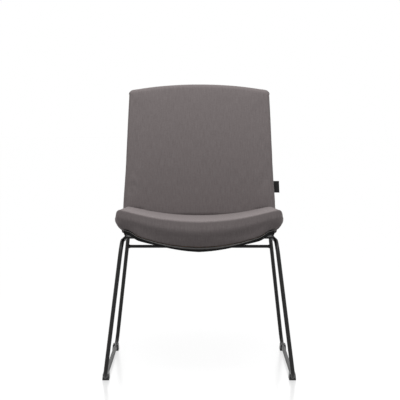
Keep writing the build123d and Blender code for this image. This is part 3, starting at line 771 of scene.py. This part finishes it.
# Powder-coated steel: black and half matt, with the coat's orange peel breaking up its shine. The peel
# is about 1 mm on the real coat and drawn at 2.5 to show.
powder_coat, tree = blank_material("powder_coated_steel")
PEEL, PATCH = 2.5 * MM, 40 * MM
place = add_node(tree, "TexCoord").outputs["Object"]
peel = add_node(tree, "TexNoise", {"Vector": place, "Scale": 1 / PEEL, "Detail": 2.0})
patch = add_node(tree, "TexNoise", {"Vector": place, "Scale": 1 / PATCH, "Detail": 3.0})
gloss = add_node(tree, "MapRange", {"Value": patch.outputs["Fac"], "To Min": 0.4, "To Max": 0.56})
tone = add_node(tree, "ValToRGB", {"Fac": peel.outputs["Fac"]}, ((0.3, "#0f0e0e"), (0.7, "#161515")))
bump = add_node(tree, "Bump", {"Height": peel.outputs["Fac"], "Strength": 0.12, "Distance": 0.4 * MM})
shader = add_node(tree, "BsdfPrincipled", {
    "Base Color": tone.outputs["Color"], "Roughness": gloss.outputs["Result"],
    "Specular IOR Level": 0.3, "Normal": bump.outputs["Normal"]})
add_node(tree, "OutputMaterial", {"Surface": shader.outputs["BSDF"]})

# Moulded polypropylene: black, with a satin spark-eroded grain that greys where light grazes it. The
# real grain is a few tenths of a millimetre, too fine to show, so it is drawn at 1.5 mm.
polypropylene, tree = blank_material("moulded_polypropylene")
GRAIN = 1.5 * MM
place = add_node(tree, "TexCoord").outputs["Object"]
grain = add_node(tree, "TexNoise", {"Vector": place, "Scale": 1 / GRAIN, "Detail": 2.0})
gloss = add_node(tree, "MapRange", {"Value": grain.outputs["Fac"], "To Min": 0.32, "To Max": 0.46})
tone = add_node(tree, "ValToRGB", {"Fac": grain.outputs["Fac"]}, ((0.3, "#121212"), (0.7, "#1a1919")))
bump = add_node(tree, "Bump", {"Height": grain.outputs["Fac"], "Strength": 0.15, "Distance": 0.3 * MM})
shader = add_node(tree, "BsdfPrincipled", {
    "Base Color": tone.outputs["Color"], "Roughness": gloss.outputs["Result"], "IOR": 1.49,
    "Specular IOR Level": 0.07, "Normal": bump.outputs["Normal"]})
add_node(tree, "OutputMaterial", {"Surface": shader.outputs["BSDF"]})
seat_pan.data.materials.append(polypropylene)

# The same polypropylene along the bead, painted a paler grey as a painted highlight along its rounded top
# edge, in patches about 12 mm long
painted_highlight, tree = blank_material("painted_highlight_polypropylene")
HIGHLIGHT_PATCH = 12 * MM
place = add_node(tree, "TexCoord").outputs["Object"]
highlight_patches = add_node(tree, "TexNoise", {"Vector": place, "Scale": 1 / HIGHLIGHT_PATCH, "Detail": 4.0})
gloss = add_node(tree, "MapRange", {"Value": highlight_patches.outputs["Fac"], "To Min": 0.3, "To Max": 0.5})
# Paler grey tones: the painted highlight along the bead's top edge, not the plastic's own colour
tone = add_node(tree, "ValToRGB", {"Fac": highlight_patches.outputs["Fac"]}, ((0.3, "#464443"), (0.7, "#524f4e")))
shader = add_node(tree, "BsdfPrincipled", {
    "Base Color": tone.outputs["Color"], "Roughness": gloss.outputs["Result"], "IOR": 1.49,
    "Specular IOR Level": 0.4})
add_node(tree, "OutputMaterial", {"Surface": shader.outputs["BSDF"]})
seat_pan.data.materials.append(painted_highlight)

# Moulded nylon of the glides: black and dull, greyed and scuffed over the last 4 mm above the sole
nylon, tree = blank_material("moulded_nylon")
SCUFF, SOLE = 2 * MM, 4 * MM
place = add_node(tree, "TexCoord").outputs["Object"]
above_floor = add_node(tree, "SeparateXYZ", {0: place}).outputs["Z"]
scuff = add_node(tree, "TexNoise", {"Vector": place, "Scale": 1 / SCUFF, "Detail": 4.0, "Roughness": 0.7})
near_sole = add_node(tree, "MapRange", {
    "Value": above_floor, "From Min": 0.0, "From Max": SOLE, "To Min": 1.0, "To Max": 0.0})
worn = add_node(tree, "Math", {
    0: near_sole.outputs["Result"], 1: scuff.outputs["Fac"]}, operation="MULTIPLY")
tone = add_node(tree, "ValToRGB", {"Fac": worn.outputs[0]}, ((0.15, "#171717"), (0.75, "#3c3b3a")))
gloss = add_node(tree, "MapRange", {"Value": worn.outputs[0], "To Min": 0.42, "To Max": 0.8})
bump = add_node(tree, "Bump", {"Height": scuff.outputs["Fac"], "Strength": 0.15, "Distance": 0.3 * MM})
shader = add_node(tree, "BsdfPrincipled", {
    "Base Color": tone.outputs["Color"], "Roughness": gloss.outputs["Result"], "IOR": 1.53,
    "Specular IOR Level": 0.4, "Normal": bump.outputs["Normal"]})
add_node(tree, "OutputMaterial", {"Surface": shader.outputs["BSDF"]})

# Woven polyester tape: black, with the ribs of its weave across the fold. The real ribs are under 1 mm
# apart and drawn at 1.6 to show.
tape, tree = blank_material("woven_polyester_tape")
RIB = 1.6 * MM
run = add_node(tree, "UVMap", uv_map="cloth_run").outputs["UV"]
rib = add_node(tree, "TexWave", {
    "Vector": run, "Scale": WAVE / RIB, "Distortion": 0.3}, bands_direction="Y")
tone = add_node(tree, "ValToRGB", {"Fac": rib.outputs["Fac"]}, ((0.2, "#0e0e0e"), (0.8, "#1c1b1b")))
bump = add_node(tree, "Bump", {"Height": rib.outputs["Fac"], "Strength": 0.4, "Distance": 0.3 * MM})
shader = add_node(tree, "BsdfPrincipled", {
    "Base Color": tone.outputs["Color"], "Roughness": 0.75, "Specular IOR Level": 0.25,
    "Sheen Weight": 0.1, "Normal": bump.outputs["Normal"]})
add_node(tree, "OutputMaterial", {"Surface": shader.outputs["BSDF"]})
tape_tab.data.materials.append(tape)

# Beech plywood, raw: a pale red-brown face with flecks 30 mm long, stretched along the shell. The real
# flecks are about 1 mm wide and drawn at 2.5 to show.
plywood, tree = blank_material("beech_plywood")
FIBRE, RAY = 2.5 * MM, 30 * MM
place = add_node(tree, "TexCoord").outputs["Object"]
stretch = add_node(tree, "Mapping", {"Vector": place, "Scale": (1 / FIBRE, 1 / RAY, 1 / FIBRE)})
figure = add_node(tree, "TexNoise", {"Vector": stretch.outputs["Vector"], "Scale": 1.0, "Detail": 4.0})
tone = add_node(tree, "ValToRGB", {"Fac": figure.outputs["Fac"]}, ((0.3, "#9d7450"), (0.7, "#c0946a")))
bump = add_node(tree, "Bump", {"Height": figure.outputs["Fac"], "Strength": 0.2, "Distance": 0.3 * MM})
shader = add_node(tree, "BsdfPrincipled", {
    "Base Color": tone.outputs["Color"], "Roughness": 0.6, "Normal": bump.outputs["Normal"]})
add_node(tree, "OutputMaterial", {"Surface": shader.outputs["BSDF"]})
shell_sheet.data.materials.append(plywood)

# Zinc-plated steel of the screws, washers and nuts: bright, with a passivated bloom in clouds of 3 mm
zinc, tree = blank_material("zinc_plated_steel")
BLOOM = 3 * MM
place = add_node(tree, "TexCoord").outputs["Object"]
bloom = add_node(tree, "TexNoise", {"Vector": place, "Scale": 1 / BLOOM, "Detail": 3.0})
gloss = add_node(tree, "MapRange", {"Value": bloom.outputs["Fac"], "To Min": 0.28, "To Max": 0.46})
tone = add_node(tree, "ValToRGB", {"Fac": bloom.outputs["Fac"]}, ((0.3, "#a9adb0"), (0.7, "#c3c5c4")))
shader = add_node(tree, "BsdfPrincipled", {
    "Base Color": tone.outputs["Color"], "Metallic": 1.0, "Roughness": gloss.outputs["Result"]})
add_node(tree, "OutputMaterial", {"Surface": shader.outputs["BSDF"]})

# Finishes of the frame's own solids
finishes = {
    powder_coat: ("left_side_rod", "right_side_rod", "rear_cross_bar", "front_seat_strap",
                  "rear_left_tab", "rear_right_tab"),
    nylon: ("front_left_glide", "front_right_glide", "rear_left_glide", "rear_right_glide"),
    zinc: ("shell_screws", "shell_washers", "shell_tee_nuts", "cover_screws"),
}
for finish, names in finishes.items():
    for name in names:
        nodes[name].data.materials.clear()
        nodes[name].data.materials.append(finish)

# Pale polished floor: white to the eye, with a faint shadow and a soft reflection of the legs
WHITE = hex_color("#ffffff")
bpy.ops.mesh.primitive_plane_add(size=40)
floor = bpy.context.object
floor.name = "floor"
pale_floor, tree = blank_material("pale_floor")
ray = add_node(tree, "LightPath")
white = add_node(tree, "Emission", {"Color": WHITE, "Strength": 1.0})
pale = add_node(tree, "BsdfDiffuse", {"Color": hex_color("#f3f3f3")})
matt = add_node(tree, "BsdfDiffuse", {"Color": hex_color("#9e9e9e")})
polish = add_node(tree, "BsdfGlossy", {"Color": WHITE, "Roughness": 0.22})
seen = add_node(tree, "Math", {
    0: ray.outputs["Is Camera Ray"], 1: ray.outputs["Is Glossy Ray"]}, operation="MAXIMUM")
seen = add_node(tree, "Math", {
    0: seen.outputs[0], 1: ray.outputs["Is Transmission Ray"]}, operation="MAXIMUM")
place = add_node(tree, "TexCoord").outputs["Object"]
distance = add_node(tree, "VectorMath", {0: place}, operation="LENGTH")
share = add_node(tree, "MapRange", {
    "Value": distance.outputs["Value"], "From Min": 0.5, "From Max": 2.2, "To Min": 0.86, "To Max": 1.0})
shown = add_node(tree, "MixShader", {0: share.outputs["Result"], 1: pale.outputs[0], 2: white.outputs[0]})
shiny = add_node(tree, "MixShader", {0: 0.2, 1: shown.outputs[0], 2: polish.outputs[0]})
both = add_node(tree, "MixShader", {0: seen.outputs[0], 1: matt.outputs[0], 2: shiny.outputs[0]})
add_node(tree, "OutputMaterial", {"Surface": both.outputs[0]})
floor.data.materials.append(pale_floor)
floor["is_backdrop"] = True

# Studio: a white surround that fills the shadows softly, one softbox overhead and one behind
scene = bpy.context.scene
scene.view_settings.view_transform = "Standard"
world = bpy.data.worlds.new("studio")
world.use_nodes = True
scene.world = world
tree = world.node_tree
tree.nodes.clear()
ray = add_node(tree, "LightPath")
seen = add_node(tree, "Math", {
    0: ray.outputs["Is Camera Ray"], 1: ray.outputs["Is Glossy Ray"]}, operation="MAXIMUM")
seen = add_node(tree, "Math", {
    0: seen.outputs[0], 1: ray.outputs["Is Transmission Ray"]}, operation="MAXIMUM")
fill = add_node(tree, "Background", {"Color": WHITE, "Strength": 0.5})
white = add_node(tree, "Background", {"Color": WHITE, "Strength": 1.0})
both = add_node(tree, "MixShader", {0: seen.outputs[0], 1: fill.outputs[0], 2: white.outputs[0]})
add_node(tree, "OutputWorld", {"Surface": both.outputs[0]})

for name, width, length, watts, location, tilt in (
    ("overhead_softbox", 2.4, 2.0, 94, (0, -0.9, 3.0), -14),
    ("rear_softbox", 2.4, 1.6, 26, (0, 2.6, 1.9), -58),
):
    lamp = bpy.data.lights.new(name, "AREA")
    lamp.shape = "RECTANGLE"
    lamp.size, lamp.size_y = width, length
    lamp.energy = watts
    softbox = bpy.data.objects.new(name, lamp)
    softbox.location = location
    softbox.rotation_euler = (radians(tilt), 0, 0)
    scene.collection.objects.link(softbox)

# Camera square to the front, looking down by 5 degrees as the photograph does
lens = bpy.data.cameras.new("camera")
lens.sensor_width = 36
lens.lens = 109.44
eye = bpy.data.objects.new("camera", lens)
eye.location = (0.0024, -3.704, 0.8304)
eye.rotation_euler = (radians(85), 0, 0)
scene.collection.objects.link(eye)
scene.camera = eye

low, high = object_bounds()
